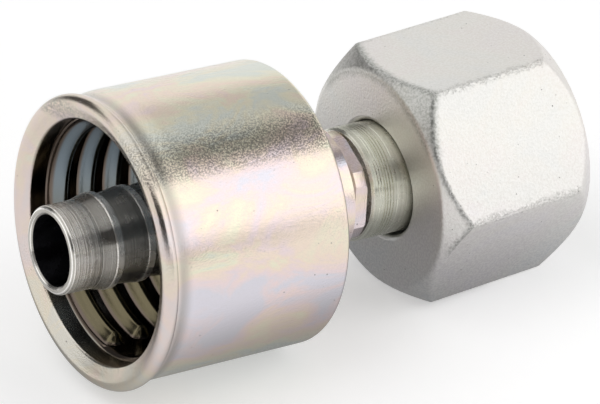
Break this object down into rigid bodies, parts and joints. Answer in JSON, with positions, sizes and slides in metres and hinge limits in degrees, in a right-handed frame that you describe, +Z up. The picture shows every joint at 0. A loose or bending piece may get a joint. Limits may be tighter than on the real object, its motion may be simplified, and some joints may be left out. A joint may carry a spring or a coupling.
{
  "type": "crimp hose fitting",
  "caption": "Crimp hose fitting: a ridged shell around a barbed stem, with a loose hex nut that swivels on the stem's neck and draws a cone seal onto a port.",
  "frame": {"origin": "on the ground under the middle of the fitting's length, as it lies at rest", "axes": "+X from the hose end to the nut's mouth; +Z up; both axes lie in the XZ plane, where the nut's points 1.9 degrees down towards its mouth and the stem's 6.7 degrees down towards the nut"},
  "size_m": [0.0576, 0.03, 0.0316],
  "materials": {
    "yellow_zinc": "zinc plating with a faint yellow, pink and blue iridescence, satin to glossy",
    "turned_steel": "bright steel with fine turning marks",
    "black_rubber": "smooth black nitrile rubber",
    "matte_zinc": "silver zinc plating over a fine-grained forged surface, matte"
  },
  "bodies": {
    "crimped_stem": {"stem": "turned_steel", "shell": "yellow_zinc", "o_ring": "black_rubber"},
    "nut": {"swivel_nut": "matte_zinc"}
  },
  "joints": [
    {"name": "nut_swivel", "type": "hinge", "parent": "crimped_stem", "child": "nut", "pos_m": [0.01218, 0, 0.01253], "axis": [0.9994, 0, -0.0335], "continuous": true}
  ]
}
